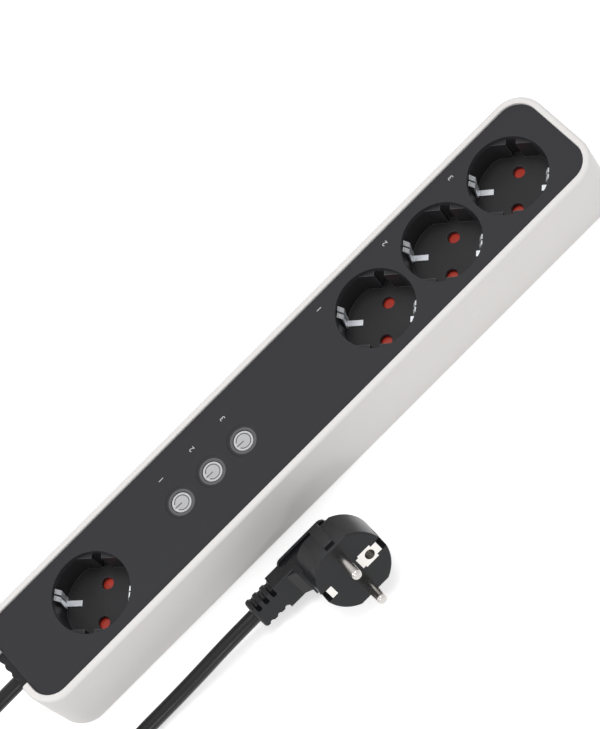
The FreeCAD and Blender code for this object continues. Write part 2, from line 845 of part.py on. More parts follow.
def plug_barrel():
    """Round barrel with two flats, deeper on the cord side, and a guide rib on each flat."""
    wide = 2 * plug_radius
    flat = plug_flat_offset
    barrel = disc(plug_radius, 0, plug_cord_side_depth)
    barrel = barrel.common(box(-wide, wide, -1, wide, -flat, flat))
    behind = prism(((plug_slope_start, plug_depth), (wide, plug_depth), (wide, wide),
                    (-plug_radius, wide), (-plug_radius, plug_cord_side_depth)), -wide, wide)
    barrel = barrel.cut(behind)
    rim = [e for e in barrel.Edges if e.BoundBox.YMax < 0.01]
    barrel = barrel.makeFillet(plug_edge_round, rim)
    for side in (1, -1):
        z = sorted((side * (flat - guide_rib_height), side * (flat + guide_rib_height)))
        rib = box(-guide_rib_width / 2, guide_rib_width / 2, guide_rib_start, guide_rib_end, z[0], z[1])
        barrel = barrel.fuse(rib.makeFillet(guide_rib_round, edges_along(rib, AXIS_Y)))
    return barrel


def plug_rear():
    """What stands behind the barrel: the core, the neck that the cord enters and the grip flange."""
    half = neck_width / 2
    near = neck_axis_depth - neck_thickness / 2
    far = neck_axis_depth + neck_thickness / 2
    core = box(core_start, core_end, plug_depth - 2, grip_depth + 1, -half, half)
    core = core.makeFillet(core_round, [e for e in edges_along(core, AXIS_Y) if e.BoundBox.XMin > 0])
    neck = box(-neck_end, core_start + 1, near, far, -half, half)
    neck = neck.makeFillet(neck_edge_round, edges_along(neck, AXIS_X))
    slope = prism(((-neck_slope_end, near), (1 - plug_radius, plug_depth), (1 - plug_radius, far - 1),
                   (-neck_slope_end, far - 1)), -half + neck_edge_round, half - neck_edge_round)
    grip = box(grip_start, grip_end, grip_depth, grip_depth + grip_thickness,
               -grip_width / 2, grip_width / 2)
    grip = grip.makeFillet(grip_corner_round, edges_along(grip, AXIS_Y))
    back = [e for e in grip.Edges if e.BoundBox.YMin > grip_depth + grip_thickness - 0.01]
    return [core, neck, slope, grip.makeFillet(grip_edge_round, back)]


def leaf_recess(side):
    """Open pocket in the barrel's side, in which an earth leaf lies."""
    half = side_contact_width / 2 + leaf_recess_margin
    x = sorted((side * side_leaf_offset, side * (plug_radius + 1)))
    return box(x[0], x[1], -1, side_leaf_length + leaf_recess_margin, -half, half)


def plug_body():
    body = joined([plug_barrel()] + plug_rear())
    for side in (1, -1):
        body = body.cut(disc(plug_pin_root_radius, -1, plug_pin_root, 0, side * pin_spacing / 2))
        body = body.cut(leaf_recess(side))
    body = body.cut(disc(earth_hole_radius + earth_sleeve_wall, -1, earth_hole_depth, earth_hole_offset))
    return body.cut(earth_plate_sheet()).cut(plug_side_contact())


def earth_plate_sheet():
    """Stepped plate let into the face round the earth hole, bent into a leaf down the barrel's side."""
    outline = list(earth_plate_outline) + [(x, -z) for x, z in reversed(earth_plate_outline)]
    plate = sheet(outline, 0, contact_sheet)
    half = earth_plate_outline[-1][1]
    leaf = box(side_leaf_offset - contact_sheet, side_leaf_offset, 0, side_leaf_length, -half, half)
    return joined([plate, leaf])


def plug_earth_plate():
    sleeve = disc(earth_hole_radius + earth_sleeve_wall, 0, earth_hole_depth, earth_hole_offset)
    plate = joined([earth_plate_sheet(), sleeve])
    return plate.cut(disc(earth_hole_radius, -1, earth_hole_depth - 1, earth_hole_offset))


def plug_side_contact():
    """Earth contact on the cord side: a leaf down the barrel with a short turn onto the face."""
    half = side_contact_width / 2
    outer = -side_leaf_offset
    leaf = box(outer, outer + contact_sheet, 0, side_leaf_length, -half, half)
    turn = box(outer, outer + side_contact_turn, 0, contact_sheet, -half, half)
    return joined([leaf, turn])


def plug_pin(side):
    pin = disc(plug_pin_radius, -plug_pin_length, 0, 0, side * pin_spacing / 2)
    tip = [e for e in pin.Edges if isinstance(e.Curve, Part.Circle)
           and e.BoundBox.YMax < -plug_pin_length + 0.01]
    root = disc(plug_pin_root_radius, -0.5, plug_pin_root, 0, side * pin_spacing / 2)
    return joined([pin.makeFillet(plug_pin_tip_round, tip), root])


def plug_boot():
    """Strain relief round the cord: a block with round notches on its edges and slots at one corner."""
    near = neck_axis_depth - boot_thickness / 2
    far = neck_axis_depth + boot_thickness / 2
    half = boot_width / 2
    block = box(-boot_end, -neck_end, near, far, -half, half)
    block = block.makeFillet(boot_edge_round, edges_along(block, AXIS_X))
    tip = [e for e in block.Edges if e.BoundBox.XMax < 0.01 - boot_end]
    body = block.makeFillet(boot_tip_round, tip)
    radius = boot_notch_radius
    for n in range(boot_notch_count):
        x = -boot_first_notch - n * boot_notch_pitch
        body = body.cut(disc(radius, near - 1, far + 1, x, -half))
        body = body.cut(disc(radius, boot_slot_floor - 0.5, far + 1, x, half))
        body = body.cut(disc(radius, near - 1, boot_slot_floor, x, boot_slot_start + radius))
        body = body.cut(box(x - radius, x + radius, near - 1, boot_slot_floor,
                            boot_slot_start + radius, half + 1))
    return body


def lead(points, name):
    return tube(points, lead_diameter, name)[0]


def lead_live():
    y = live_face + lead_diameter / 2
    return lead(((lead_start_x, 2.0, 28.0), (-151.8, 3.0, 27.2), (-150.0, 6.0, 21.0),
                 (-148.0, 9.5, 13.5), (-141.0, 11.4, 8.5), (-129.0, y, 6.9)), "lead_live")


def lead_neutral():
    y = -live_face - lead_diameter / 2
    return lead(((lead_start_x, 0.0, 25.2), (-151.9, -1.0, 24.0), (-150.2, -3.0, 19.0),
                 (-149.0, -7.0, 12.5), (-145.5, -11.6, 9.0), (-137.0, y, 7.6)), "lead_neutral")


def lead_earth():
    z = strap_top - strap_thickness + lead_diameter / 2
    return lead(((lead_start_x, -2.0, 28.0), (-152.0, -5.0, 27.4), (-150.4, -10.5, 23.0),
                 (-148.8, -13.5, 18.2), (-144.0, -14.4, z + 0.3), (-136.0, earth_bar_y, z)), "lead_earth")


def inner_leads():
    """Switched leads from the board to the three numbered sockets, and the board's own feed."""
    y = live_face + lead_diameter / 2
    routes = (
        ((12.0, 11.4, board_low - 0.1), (12.5, 11.5, 14.5), (18.5, 11.3, 8.2), (34.0, 11.5, 7.0),
         (54.0, y, 6.9)),
        ((18.0, 11.4, board_low - 0.1), (18.5, 11.5, 17.0), (24.5, 11.3, 11.2), (40.0, 11.5, 10.2),
         (72.0, 11.3, 10.3), (84.0, 11.4, 8.6), (97.0, y, 6.9)),
        ((24.0, 11.4, board_low - 0.1), (24.5, 11.5, 19.5), (30.5, 11.3, 14.2), (46.0, 11.5, 13.3),
         (90.0, 11.3, 13.5), (122.0, 11.4, 12.6), (131.0, 11.3, 8.0), (140.0, y, 6.9)),
        ((-118.0, y, 11.5), (-108.0, 11.5, 11.2), (-97.0, 12.1, 13.0), (-88.5, 12.3, 17.5),
         (-86.8, 12.2, board_low - 0.15)),
        ((-113.0, -y, 6.9), (-105.0, -11.5, 7.4), (-98.0, -11.2, 12.0), (-91.5, -10.7, 17.0),
         (-90.5, -10.55, board_low - 0.15)),
    )
    return Part.makeCompound([lead(route, "inner_leads") for route in routes])


def cord_inner():
    """The cord's last stretch, through the gland and under the clamp, to the end of its sheath."""
    length = sheath_end_x + strip_length / 2
    return Part.makeCylinder(cord_diameter / 2, length, V(-strip_length / 2, 0, cord_height), AXIS_X)


save("housing_shell", housing_shell())
save("top_panel", top_panel())
for number, position in enumerate(socket_x):
    save("socket_well_%d" % number, socket_well(position))
    save("shutter_%d" % number, shutter(position))
    save("earth_clip_%d" % number, earth_clip(position))
    save("live_contact_%d" % number, live_contact(number))
save("neutral_bar", neutral_bar())
save("earth_bar", earth_bar())
for number, position in enumerate(button_x, 1):
    save("button_ring_%d" % number, button_ring(position))
    save("button_cap_%d" % number, button_cap(position))
    save("switch_body_%d" % number, switch_body(position))
    save("switch_plunger_%d" % number, switch_plunger(position))
    save("relay_%d" % number, relay(number - 1))
save("control_board", control_board())
save("supply_transformer", supply_transformer())
save("capacitors", capacitors())
save("radio_module", radio_module())
save("indicator_lamps", indicator_lamps())
save("housing_screws", housing_screws())
save("board_screws", board_screws())
save("clamp_screws", clamp_screws())
save("cord_clamp", cord_clamp())
save("cable_gland", gland())
save("cord_inner", cord_inner())
save("lead_live", lead_live())
save("lead_neutral", lead_neutral())
save("lead_earth", lead_earth())
save("inner_leads", inner_leads())
save("plug_body", to_plug_place(plug_body()))
save("plug_boot", to_plug_place(plug_boot()))
save("plug_pin_live", to_plug_place(plug_pin(1)))
save("plug_pin_neutral", to_plug_place(plug_pin(-1)))
save("plug_earth_plate", to_plug_place(plug_earth_plate()))
save("plug_side_contact", to_plug_place(plug_side_contact()))
save("cord_tube", tube(cord_out, cord_diameter, "cord_tube")[0])
save("cord_tail", tube(cord_tail, cord_diameter, "cord_tail")[0])
save("cord_coil", coil_solid())
save("cord_tie", cord_tie())
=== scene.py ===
import math

import bmesh
import bpy
from mathutils import Matrix, Vector


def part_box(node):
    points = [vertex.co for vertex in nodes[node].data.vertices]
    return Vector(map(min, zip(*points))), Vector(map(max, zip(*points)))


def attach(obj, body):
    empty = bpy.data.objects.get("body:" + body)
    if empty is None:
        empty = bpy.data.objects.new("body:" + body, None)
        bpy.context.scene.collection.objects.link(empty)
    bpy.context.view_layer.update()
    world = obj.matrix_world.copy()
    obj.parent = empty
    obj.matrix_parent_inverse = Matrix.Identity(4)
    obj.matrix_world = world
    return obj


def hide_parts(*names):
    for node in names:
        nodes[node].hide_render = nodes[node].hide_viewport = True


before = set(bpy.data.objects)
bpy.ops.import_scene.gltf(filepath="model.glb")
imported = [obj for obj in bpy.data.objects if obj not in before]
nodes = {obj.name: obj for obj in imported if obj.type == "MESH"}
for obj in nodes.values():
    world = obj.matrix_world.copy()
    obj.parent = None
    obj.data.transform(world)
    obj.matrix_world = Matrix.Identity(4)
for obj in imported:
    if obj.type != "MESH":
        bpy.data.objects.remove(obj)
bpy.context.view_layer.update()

scene = bpy.context.scene
socketNumbers = (1, 2, 3)
buttonNumbers = (1, 2, 3)


def tone(red, green, blue):
    # screen colour, 0 to 255, turned into the linear colour that a shader takes
    linear = []
    for part in (red, green, blue):
        part = part / 255
        linear.append(part / 12.92 if part <= 0.04045 else ((part + 0.055) / 1.055) ** 2.4)
    return (*linear, 1.0)


def middle(node):
    low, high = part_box(node)
    return (Vector(low) + Vector(high)) / 2


print("camera")
view = {"place": (0.00606, -0.64454, 1.21149), "turn": (21.703, 19.827, -41.253), "lens": 143.9, "film": 36}
camera = bpy.data.cameras.new("view")
camera.lens = view["lens"]
camera.sensor_width = view["film"]
cameraObject = bpy.data.objects.new("view", camera)
cameraObject.location = view["place"]
cameraObject.rotation_euler = [math.radians(angle) for angle in view["turn"]]
scene.collection.objects.link(cameraObject)
scene.camera = cameraObject

print("cord")
# one line from the gland, round the coil and on to the plug
cordSize = {"diameter": 0.0073, "length": 1.5, "facets": 12}
cordOut = (
    (-0.1790, 0.0000, 0.0270),
    (-0.1990, 0.0003, 0.0263),
    (-0.2185, 0.0020, 0.0210),
    (-0.2340, 0.0052, 0.0122),
    (-0.2495, 0.0092, 0.0054),
)
cordTail = (
    (-0.2440, -0.0660, 0.0094),
    (-0.2170, -0.0596, 0.0052),
    (-0.1880, -0.0544, 0.00375),
    (-0.1590, -0.0518, 0.00375),
    (-0.1370, -0.0523, 0.0049),
    (-0.1170, -0.0534, 0.0082),
    (-0.0990, -0.0539, 0.0110),
    (-0.0805, -0.05389, 0.01125),
)
# the turns, as angle in degrees, radius and height: outer low, inner low, inner high, top, outer high
coil = {"centre": (-0.281, -0.029), "pointsPerTurn": 16, "last": 1728}
coilLanes = (
    (72, 0.046, 0.00375), (352, 0.046, 0.00375), (432, 0.038, 0.00375), (672, 0.038, 0.00375),
    (752, 0.038, 0.01175), (1032, 0.038, 0.01175), (1112, 0.042, 0.01785), (1372, 0.042, 0.01785),
    (1432, 0.046, 0.01175), (1700, 0.046, 0.01170), (1728, 0.046, 0.01130),
)


def coilPlace(angle):
    # radius and height along the lanes, eased where the cord changes from one to the next
    for start, end in zip(coilLanes, coilLanes[1:]):
        if angle <= end[0]:
            share = (angle - start[0]) / (end[0] - start[0])
            share = share * share * (3 - 2 * share)
            return [start[n] + (end[n] - start[n]) * share for n in (1, 2)]
    return coilLanes[-1][1:]


def coilPoints():
    step = 360 / coil["pointsPerTurn"]
    # a spline runs a little inside its control points, so they stand further out
    stretch = 1 / (0.75 + 0.25 * math.cos(math.radians(step)))
    first = coilLanes[0][0]
    count = round((coil["last"] - first) / step)
    points = []
    for n in range(count + 1):
        angle = first + (coil["last"] - first) * n / count
        radius, height = coilPlace(angle)
        turn = math.radians(angle)
        points.append((coil["centre"][0] + radius * stretch * math.cos(turn),
                       coil["centre"][1] + radius * stretch * math.sin(turn), height))
    return points


def meshNow(item):
    bpy.context.view_layer.update()
    return bpy.data.meshes.new_from_object(item.evaluated_get(bpy.context.evaluated_depsgraph_get()))


def makeCord():
    # the spline gives the cord's middle line first, then the tube round it
    curve = bpy.data.curves.new("cordRoute", "CURVE")
    curve.dimensions = "3D"
    curve.resolution_u = 8
    curve.use_fill_caps = True
    points = list(cordOut) + coilPoints() + list(cordTail)
    spline = curve.splines.new("NURBS")
    spline.points.add(len(points) - 1)
    for slot, point in zip(spline.points, points):
        slot.co = (*point, 1)
    spline.order_u = 3
    spline.use_endpoint_u = True
    spline.use_smooth = True
    route = bpy.data.objects.new("cordRoute", curve)
    scene.collection.objects.link(route)
    path = [tuple(vert.co) for vert in meshNow(route).vertices]
    curve.bevel_depth = cordSize["diameter"] / 2
    curve.bevel_resolution = cordSize["facets"] // 2
    tube = meshNow(route)
    bpy.data.objects.remove(route)
    cord = bpy.data.objects.new("mainsCord", tube)
    scene.collection.objects.link(cord)
    return cord, path


cord, cordPath = makeCord()
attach(cord, "base")
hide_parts("cord_tube", "cord_tail", "cord_coil")


print("studio")
# white surroundings that the lamps alone don't have to make
studio = {"skyLight": 0.56, "background": 1.0, "floorTone": 244, "floorGlow": 0.50, "floorSize": 6.0,
          "floorDrop": 0.0002}


def seenDirectly(tree):
    # 1 for camera, mirror and glass rays, which see the plain white background
    path = tree.nodes.new("ShaderNodeLightPath")
    total = path.outputs["Is Camera Ray"]
    for ray in ("Is Glossy Ray", "Is Transmission Ray"):
        add = tree.nodes.new("ShaderNodeMath")
        add.operation = "MAXIMUM"
        tree.links.new(total, add.inputs[0])
        tree.links.new(path.outputs[ray], add.inputs[1])
        total = add.outputs[0]
    return total


def makeWorld():
    world = bpy.data.worlds.new("studio")
    scene.world = world
    world.use_nodes = True
    tree = world.node_tree
    strength = tree.nodes.new("ShaderNodeMapRange")
    strength.inputs["To Min"].default_value = studio["skyLight"]
    strength.inputs["To Max"].default_value = studio["background"]
    tree.links.new(seenDirectly(tree), strength.inputs["Value"])
    back = tree.nodes["Background"]
    back.inputs["Color"].default_value = (1, 1, 1, 1)
    tree.links.new(strength.outputs["Result"], back.inputs["Strength"])


def makeFloor():
    mesh = bpy.data.meshes.new("studioFloor")
    shape = bmesh.new()
    bmesh.ops.create_grid(shape, x_segments=1, y_segments=1, size=studio["floorSize"])
    shape.to_mesh(mesh)
    shape.free()
    floor = bpy.data.objects.new("studioFloor", mesh)
    floor.location.z = -studio["floorDrop"]
    scene.collection.objects.link(floor)
    material = bpy.data.materials.new("studioFloor")
    material.use_nodes = True
    tree = material.node_tree
    shader = tree.nodes["Principled BSDF"]
    level = studio["floorTone"]
    shader.inputs["Base Color"].default_value = tone(level, level, level)
    shader.inputs["Roughness"].default_value = 0.9
    shader.inputs["Specular IOR Level"].default_value = 0.0
    glow = tree.nodes.new("ShaderNodeMath")
    glow.operation = "MULTIPLY"
    glow.inputs[1].default_value = studio["floorGlow"]
    tree.links.new(seenDirectly(tree), glow.inputs[0])
    shader.inputs["Emission Color"].default_value = (1, 1, 1, 1)
    tree.links.new(glow.outputs[0], shader.inputs["Emission Strength"])
    # seen from below, the floor isn't there
    clear = tree.nodes.new("ShaderNodeBsdfTransparent")
    side = tree.nodes.new("ShaderNodeMixShader")
    tree.links.new(tree.nodes.new("ShaderNodeNewGeometry").outputs["Backfacing"], side.inputs["Fac"])
    tree.links.new(shader.outputs["BSDF"], side.inputs[1])
    tree.links.new(clear.outputs["BSDF"], side.inputs[2])
    tree.links.new(side.outputs["Shader"], tree.nodes["Material Output"].inputs["Surface"])
    mesh.materials.append(material)


lamps = (
    {"name": "topLamp", "kind": "AREA", "power": 6.5, "size": 0.8, "place": (0.20, 0.10, 1.55)},
    {"name": "frontLamp", "kind": "AREA", "power": 1.8, "size": 0.3, "place": (-0.45, -1.30, 0.60)},
    {"name": "leftLamp", "kind": "AREA", "power": 3.0, "size": 0.25, "place": (-1.00, 0.25, 0.90)},
)


def makeLamps():
    target = Vector((-0.02, -0.01, 0.02))
    for lamp in lamps:
        light = bpy.data.lights.new(lamp["name"], lamp["kind"])
        light.energy = lamp["power"]
        light.shape = "DISK"
        light.size = lamp["size"]
        lampObject = bpy.data.objects.new(lamp["name"], light)
        lampObject.location = lamp["place"]
        aim = target - Vector(lamp["place"])
        lampObject.rotation_euler = aim.to_track_quat("-Z", "Y").to_euler()
        scene.collection.objects.link(lampObject)


makeWorld()
makeFloor()
makeLamps()

print("effects")


def newGroup(name, inputs, outputs):
    group = bpy.data.node_groups.new(name, "ShaderNodeTree")
    for label, kind, value in inputs:
        socket = group.interface.new_socket(name=label, in_out="INPUT", socket_type=kind)
        socket.default_value = value
    for label, kind in outputs:
        group.interface.new_socket(name=label, in_out="OUTPUT", socket_type=kind)
    return group, group.nodes.new("NodeGroupInput"), group.nodes.new("NodeGroupOutput")


def mathNode(tree, operation, one, two):
    node = tree.nodes.new("ShaderNodeMath")
    node.operation = operation
    for socket, value in zip(node.inputs, (one, two)):
        if isinstance(value, (int, float)):
            socket.default_value = value
        else:
            tree.links.new(value, socket)
    return node.outputs[0]


def noiseNode(tree, vector, scale, detail, roughness):
    node = tree.nodes.new("ShaderNodeTexNoise")
    tree.links.new(vector, node.inputs["Vector"])
    tree.links.new(scale, node.inputs["Scale"])
    node.inputs["Detail"].default_value = detail
    node.inputs["Roughness"].default_value = roughness
    return node.outputs["Fac"]


def centred(tree, value, amount):
    # noise about zero, times an amount
    return mathNode(tree, "MULTIPLY", mathNode(tree, "SUBTRACT", value, 0.5), amount)


def makeGrainGroup():
    # moulded surface: fine spark-eroded grain, slow patches of tone, a few rubbed places, and a painted
    # highlight along edges
    number = "NodeSocketFloat"
    group, given, made = newGroup("mouldedGrain", (
        ("Colour", "NodeSocketColor", (0.5, 0.5, 0.5, 1)), ("Roughness", number, 0.5),
        ("Grain Size", number, 0.4), ("Patch Size", number, 30.0), ("Tone Change", number, 0.08),
        ("Roughness Change", number, 0.15), ("Rub", number, 0.1), ("Painted Edge Highlight", number, 0.0)),
        (("Colour", "NodeSocketColor"), ("Roughness", number), ("Height", number)))
    place = group.nodes.new("ShaderNodeTexCoord").outputs["Object"]
    fineScale = mathNode(group, "DIVIDE", 1000.0, given.outputs["Grain Size"])
    slowScale = mathNode(group, "DIVIDE", 1000.0, given.outputs["Patch Size"])
    rubScale = mathNode(group, "MULTIPLY", slowScale, 6.0)
    fine = noiseNode(group, place, fineScale, 2.0, 0.6)
    slow = noiseNode(group, place, slowScale, 4.0, 0.55)
    rub = noiseNode(group, place, rubScale, 5.0, 0.7)
    rubbed = group.nodes.new("ShaderNodeMapRange")
    rubbed.inputs["From Min"].default_value = 0.58
    rubbed.inputs["From Max"].default_value = 0.75
    group.links.new(rub, rubbed.inputs["Value"])
    rubMask = mathNode(group, "MULTIPLY", rubbed.outputs["Result"], given.outputs["Rub"])
    slowPart = centred(group, slow, given.outputs["Tone Change"])
    finePart = mathNode(group, "MULTIPLY", centred(group, fine, given.outputs["Tone Change"]), 0.8)
    level = mathNode(group, "ADD", mathNode(group, "ADD", slowPart, finePart), 1.0)
    level = mathNode(group, "ADD", level, mathNode(group, "MULTIPLY", rubMask, 0.5))
    # painted highlight: the colour is lightened along edges, standing in for the light that slightly rounded
    # moulded edges catch
    soft = group.nodes.new("ShaderNodeBevel")
    soft.samples = 6
    soft.inputs["Radius"].default_value = 0.0003
    turn = group.nodes.new("ShaderNodeVectorMath")
    turn.operation = "DOT_PRODUCT"
    group.links.new(soft.outputs["Normal"], turn.inputs[0])
    group.links.new(group.nodes.new("ShaderNodeNewGeometry").outputs["Normal"], turn.inputs[1])
    edge = mathNode(group, "SUBTRACT", 1.0, turn.outputs["Value"])
    edge = mathNode(group, "MINIMUM", mathNode(group, "MULTIPLY", edge, 8.0), 1.0)
    edge = mathNode(group, "MULTIPLY", edge, given.outputs["Painted Edge Highlight"])
    level = mathNode(group, "ADD", level, mathNode(group, "MULTIPLY", edge, 3.0))
    shade = group.nodes.new("ShaderNodeVectorMath")
    shade.operation = "SCALE"
    group.links.new(given.outputs["Colour"], shade.inputs[0])
    group.links.new(level, shade.inputs["Scale"])
    group.links.new(shade.outputs["Vector"], made.inputs["Colour"])
    change = centred(group, slow, given.outputs["Roughness Change"])
    change = mathNode(group, "SUBTRACT", change, rubMask)
    rough = mathNode(group, "ADD", given.outputs["Roughness"], change)
    rough = mathNode(group, "MINIMUM", mathNode(group, "MAXIMUM", rough, 0.05), 1.0)
    group.links.new(rough, made.inputs["Roughness"])
    group.links.new(fine, made.inputs["Height"])
    return group


def makeBrushGroup():
    # drawn or stamped metal: long fine lines along one direction, with darker tarnish in patches
    number = "NodeSocketFloat"
    group, given, made = newGroup("drawnMetal", (
        ("Colour", "NodeSocketColor", (0.7, 0.7, 0.7, 1)), ("Roughness", number, 0.25),
        ("Line Size", number, 0.15), ("Tarnish", number, 0.1), ("Direction", "NodeSocketVector", (1, 1, 1))),
        (("Colour", "NodeSocketColor"), ("Roughness", number), ("Height", number)))
    place = group.nodes.new("ShaderNodeTexCoord").outputs["Object"]
    along = group.nodes.new("ShaderNodeVectorMath")
    along.operation = "MULTIPLY"
    group.links.new(place, along.inputs[0])
    group.links.new(given.outputs["Direction"], along.inputs[1])
    lineScale = mathNode(group, "DIVIDE", 1000.0, given.outputs["Line Size"])
    lines = noiseNode(group, along.outputs["Vector"], lineScale, 2.0, 0.5)
    patchScale = mathNode(group, "MULTIPLY", lineScale, 0.05)
    patches = noiseNode(group, place, patchScale, 4.0, 0.6)
    level = mathNode(group, "SUBTRACT", 1.0, mathNode(group, "MULTIPLY", patches, given.outputs["Tarnish"]))
    level = mathNode(group, "ADD", level, centred(group, lines, given.outputs["Tarnish"]))
    shade = group.nodes.new("ShaderNodeVectorMath")
    shade.operation = "SCALE"
    group.links.new(given.outputs["Colour"], shade.inputs[0])
    group.links.new(level, shade.inputs["Scale"])
    group.links.new(shade.outputs["Vector"], made.inputs["Colour"])
    rough = mathNode(group, "ADD", given.outputs["Roughness"], centred(group, lines, 0.18))
    rough = mathNode(group, "ADD", rough, mathNode(group, "MULTIPLY", patches, given.outputs["Tarnish"]))
    group.links.new(mathNode(group, "MAXIMUM", rough, 0.05), made.inputs["Roughness"])
    group.links.new(lines, made.inputs["Height"])
    return group


grainGroup = makeGrainGroup()
brushGroup = makeBrushGroup()

print("finishes")
# grain and patch sizes in millimetres, bump depth in millimetres; edge sets the strength of a painted
# highlight along edges
finishes = {
    "white_shell": {"colour": (238, 235, 233), "rough": 0.42, "grain": 0.6, "patch": 70, "tone": 0.02,
                    "rub": 0.04, "bump": 0.004, "specular": 0.35},
    "anthracite": {"colour": (54, 54, 57), "rough": 0.55, "grain": 0.28, "patch": 45, "tone": 0.10,
                   "rub": 0.05, "bump": 0.012, "specular": 0.15, "edge": 0.5},
    "well_plastic": {"colour": (47, 46, 48), "rough": 0.42, "grain": 0.35, "patch": 25, "tone": 0.12,
                     "rub": 0.06, "bump": 0.012, "specular": 0.22, "edge": 1.8},
    "shutter_red": {"colour": (206, 60, 42), "rough": 0.24, "grain": 0.5, "patch": 6, "tone": 0.12,
                    "rub": 0.05, "bump": 0.02, "specular": 0.4},
    "clear_ring": {"colour": (176, 179, 184), "rough": 0.14, "grain": 0.8, "patch": 8, "tone": 0.06,
                   "rub": 0.03, "bump": 0.004, "specular": 0.3},
    "button_grey": {"colour": (196, 197, 199), "rough": 0.36, "grain": 0.3, "patch": 5, "tone": 0.03,
                    "rub": 0.05, "bump": 0.01, "specular": 0.3},
    "dark_plastic": {"colour": (44, 44, 46), "rough": 0.5, "grain": 0.3, "patch": 8, "tone": 0.1,
                     "rub": 0.08, "bump": 0.02, "specular": 0.4},
    "plunger": {"colour": (206, 204, 196), "rough": 0.4, "grain": 0.3, "patch": 3, "tone": 0.06,
                "rub": 0.05, "bump": 0.01, "specular": 0.4},
    "relay_case": {"colour": (38, 92, 150), "rough": 0.38, "grain": 0.4, "patch": 10, "tone": 0.08,
                   "rub": 0.08, "bump": 0.01, "specular": 0.45},
    "board": {"colour": (32, 92, 58), "rough": 0.4, "grain": 0.6, "patch": 12, "tone": 0.2,
              "rub": 0.06, "bump": 0.02, "specular": 0.5},
    "transformer": {"colour": (56, 52, 48), "rough": 0.45, "grain": 0.8, "patch": 6, "tone": 0.2,
                    "rub": 0.1, "bump": 0.05, "specular": 0.4},
    "capacitor": {"colour": (40, 46, 70), "rough": 0.3, "grain": 0.5, "patch": 6, "tone": 0.08,
                  "rub": 0.05, "bump": 0.01, "specular": 0.5},
    "lamp": {"colour": (232, 236, 226), "rough": 0.2, "grain": 0.2, "patch": 1, "tone": 0.05,
             "rub": 0.02, "bump": 0.005, "specular": 0.5, "glow": 0.4},
    "gland_rubber": {"colour": (32, 32, 34), "rough": 0.5, "grain": 0.4, "patch": 8, "tone": 0.14,
                     "rub": 0.08, "bump": 0.012, "specular": 0.22, "edge": 0.6},
    "cord_sheath": {"colour": (18, 18, 20), "rough": 0.3, "grain": 0.9, "patch": 60, "tone": 0.14,
                    "rub": 0.05, "bump": 0.012, "specular": 0.34},
    "tie_rubber": {"colour": (34, 34, 36), "rough": 0.6, "grain": 0.6, "patch": 8, "tone": 0.14,
                   "rub": 0.12, "bump": 0.06, "specular": 0.3},
    "lead_brown": {"colour": (96, 56, 34), "rough": 0.4, "grain": 0.5, "patch": 12, "tone": 0.1,
                   "rub": 0.05, "bump": 0.01, "specular": 0.4},
    "lead_blue": {"colour": (34, 76, 150), "rough": 0.4, "grain": 0.5, "patch": 12, "tone": 0.1,
                  "rub": 0.05, "bump": 0.01, "specular": 0.4},
    "plug_plastic": {"colour": (24, 25, 28), "rough": 0.3, "grain": 0.4, "patch": 18, "tone": 0.10,
                     "rub": 0.06, "bump": 0.012, "specular": 0.36, "edge": 0.9},
    "clip_steel": {"colour": (240, 243, 248), "rough": 0.34, "metal": 0.5, "line": 0.12, "tarnish": 0.12,
                   "bump": 0.01, "along": (1, 1, 0.08)},
    "brass": {"colour": (214, 176, 96), "rough": 0.3, "line": 0.15, "tarnish": 0.2, "bump": 0.01,
              "along": (0.06, 1, 1)},
    "screw_steel": {"colour": (176, 178, 180), "rough": 0.34, "line": 0.1, "tarnish": 0.2, "bump": 0.01,
                    "along": (1, 1, 1)},
    "can_metal": {"colour": (196, 198, 198), "rough": 0.3, "line": 0.2, "tarnish": 0.12, "bump": 0.01,
                  "along": (0.08, 1, 1)},
    "pin_nickel": {"colour": (204, 200, 196), "rough": 0.2, "line": 0.12, "tarnish": 0.06, "bump": 0.004,
                   "along": (1, 0.1, 0.1)},
    "plate_nickel": {"colour": (232, 229, 225), "rough": 0.3, "line": 0.12, "tarnish": 0.06, "bump": 0.006,
                     "along": (0.1, 1, 1)},
    "print_white": {"colour": (206, 206, 209), "rough": 0.5, "grain": 0.15, "patch": 2, "tone": 0.06,
                    "rub": 0.05, "bump": 0.005, "specular": 0.3},
    "symbol_grey": {"colour": (92, 93, 97), "rough": 0.5, "grain": 0.15, "patch": 2, "tone": 0.06,
                    "rub": 0.05, "bump": 0.005, "specular": 0.3},
}


